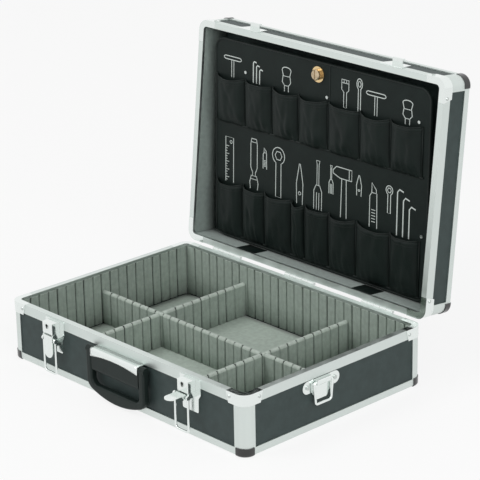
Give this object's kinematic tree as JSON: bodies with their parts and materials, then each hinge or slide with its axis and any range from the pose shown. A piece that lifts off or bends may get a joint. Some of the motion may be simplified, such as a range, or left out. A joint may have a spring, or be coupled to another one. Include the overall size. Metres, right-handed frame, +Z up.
{
  "type": "hard tool case",
  "caption": "Open hard tool case with aluminium rails, latches, carrying handle, foam-divided tray and a pocketed tool pallet in the hinged lid.",
  "frame": {"origin": "centre of the base's footprint, on the floor under the corner feet", "axes": "+X along the width to the right seen from the front, +Y to the hinged back, +Z up"},
  "size_m": [0.4724, 0.4499, 0.4134],
  "materials": {
    "panel": "fine grain",
    "rail": "satin",
    "chrome": "polished",
    "steel": "zinc plated",
    "foam": "flocked foam",
    "handle": "satin",
    "vinyl": "grained vinyl",
    "brass": "polished",
    "cap": "gloss black"
  },
  "bodies": {
    "base": {"base_bottom_panel": "panel", "base_front_panel": "panel", "base_back_panel": "panel", "base_left_panel": "panel", "base_right_panel": "panel", "base_rim_rails": "rail", "base_edge_rails": "rail", "base_corner_posts": "rail", "base_ball_corners": "cap", "base_rim_brackets": "chrome", "base_rivets": "steel", "base_liners": "foam", "floor_pad": "foam", "hinge_base_leaves": "chrome", "hinge_pins": "steel", "latch_housings": "chrome", "lever_pins": "steel", "latch_plates": "chrome", "handle_mount": "handle", "handle_pins": "steel", "handle_trim": "chrome", "strap_brackets": "chrome", "strap_rivets": "steel"},
    "lid": {"lid_top_panel": "panel", "lid_front_panel": "panel", "lid_back_panel": "panel", "lid_side_panels": "panel", "lid_rim_rails": "rail", "lid_edge_rails": "rail", "lid_corner_posts": "rail", "lid_ball_corners": "cap", "lid_rim_brackets": "chrome", "lid_rivets": "steel", "lid_lining": "foam", "hinge_lid_leaves": "chrome", "latch_strikes": "chrome", "pallet_keeper": "steel", "pallet_straps": "vinyl"},
    "pallet": {"pallet_board": "vinyl", "upper_pockets": "vinyl", "lower_pockets": "vinyl", "pallet_rivets": "steel", "knob_ring": "brass"},
    "pallet_knob": {"pallet_knob": "chrome"},
    "divider_cross": {"divider_cross": "foam"},
    "divider_long": {"divider_long": "foam"},
    "divider_right": {"divider_right": "foam"},
    "divider_front": {"divider_front": "foam"},
    "divider_back": {"divider_back": "foam"},
    "lock_left": {"lock_left": "steel"},
    "lock_right": {"lock_right": "steel"},
    "lever_left": {"lever_left": "chrome"},
    "lever_right": {"lever_right": "chrome"},
    "bail_pin_left": {"bail_pin_left": "steel"},
    "bail_pin_right": {"bail_pin_right": "steel"},
    "bail_left": {"bail_left": "chrome"},
    "bail_right": {"bail_right": "chrome"},
    "handle_loop": {"handle_loop": "handle"},
    "ring_left": {"ring_left": "chrome"},
    "ring_right": {"ring_right": "chrome"}
  },
  "joints": [
    {"name": "lid_hinge", "type": "hinge", "parent": "base", "child": "lid", "pos_m": [0, 0.163, 0.0848], "axis": [1, 0, 0], "range_deg": [0, 96]},
    {"name": "pallet_tilt", "type": "hinge", "parent": "lid", "child": "pallet", "pos_m": [0, 0.1954, 0.09458], "axis": [-1, 0, 0], "range_deg": [-20, 0]},
    {"name": "knob_turn", "type": "hinge", "parent": "pallet", "child": "pallet_knob", "pos_m": [0, 0.20192, 0.36831], "axis": [0, -0.9996, 0.0293], "range_deg": [0, 90]},
    {"name": "lock_left_turn", "type": "hinge", "parent": "base", "child": "lock_left", "pos_m": [-0.1335, -0.17, 0.076], "axis": [0, 1, 0], "range_deg": [0, 90]},
    {"name": "lever_left_swing", "type": "hinge", "parent": "base", "child": "lever_left", "pos_m": [-0.1335, -0.171, 0.0615], "axis": [1, 0, 0], "range_deg": [-95, 0]},
    {"name": "bail_pin_left_turn", "type": "hinge", "parent": "lever_left", "child": "bail_pin_left", "pos_m": [-0.1335, -0.171, 0.0565], "axis": [1, 0, 0], "range_deg": [0, 95]},
    {"name": "bail_left_swing", "type": "hinge", "parent": "bail_pin_left", "child": "bail_left", "pos_m": [-0.1335, -0.171, 0.0565], "axis": [1, 0, 0], "range_deg": [-175, 0]},
    {"name": "ring_left_swing", "type": "hinge", "parent": "base", "child": "ring_left", "pos_m": [-0.233, -0.028, 0.0663], "axis": [0, 1, 0], "range_deg": [0, 150]},
    {"name": "lock_right_turn", "type": "hinge", "parent": "base", "child": "lock_right", "pos_m": [0.1335, -0.17, 0.076], "axis": [0, 1, 0], "range_deg": [0, 90]},
    {"name": "lever_right_swing", "type": "hinge", "parent": "base", "child": "lever_right", "pos_m": [0.1335, -0.171, 0.0615], "axis": [1, 0, 0], "range_deg": [-5, 90]},
    {"name": "bail_pin_right_turn", "type": "hinge", "parent": "lever_right", "child": "bail_pin_right", "pos_m": [0.1335, -0.176, 0.0615], "axis": [1, 0, 0], "range_deg": [-90, 5]},
    {"name": "bail_right_swing", "type": "hinge", "parent": "bail_pin_right", "child": "bail_right", "pos_m": [0.1335, -0.176, 0.0615], "axis": [1, 0, 0], "range_deg": [-175, 0]},
    {"name": "ring_right_swing", "type": "hinge", "parent": "base", "child": "ring_right", "pos_m": [0.233, -0.028, 0.0663], "axis": [0, -1, 0], "range_deg": [0, 150]},
    {"name": "handle_swing", "type": "hinge", "parent": "base", "child": "handle_loop", "pos_m": [0, -0.1675, 0.0665], "axis": [-1, 0, 0], "range_deg": [0, 100]},
    {"name": "divider_cross_lift", "type": "slide", "parent": "base", "child": "divider_cross", "axis": [0, 0, -1], "range_m": [-0.06, 0]},
    {"name": "divider_long_lift", "type": "slide", "parent": "base", "child": "divider_long", "axis": [0, 0, -1], "range_m": [-0.06, 0]},
    {"name": "divider_right_lift", "type": "slide", "parent": "base", "child": "divider_right", "axis": [0, 0, -1], "range_m": [-0.06, 0]},
    {"name": "divider_front_lift", "type": "slide", "parent": "base", "child": "divider_front", "axis": [0, 0, -1], "range_m": [-0.06, 0]},
    {"name": "divider_back_lift", "type": "slide", "parent": "base", "child": "divider_back", "axis": [0, 0, -1], "range_m": [-0.06, 0]}
  ],
  "couplings": [
    {"joint": "bail_pin_left_turn", "follows": "lever_left_swing", "ratio": -1},
    {"joint": "bail_pin_right_turn", "follows": "lever_right_swing", "ratio": -1}
  ]
}
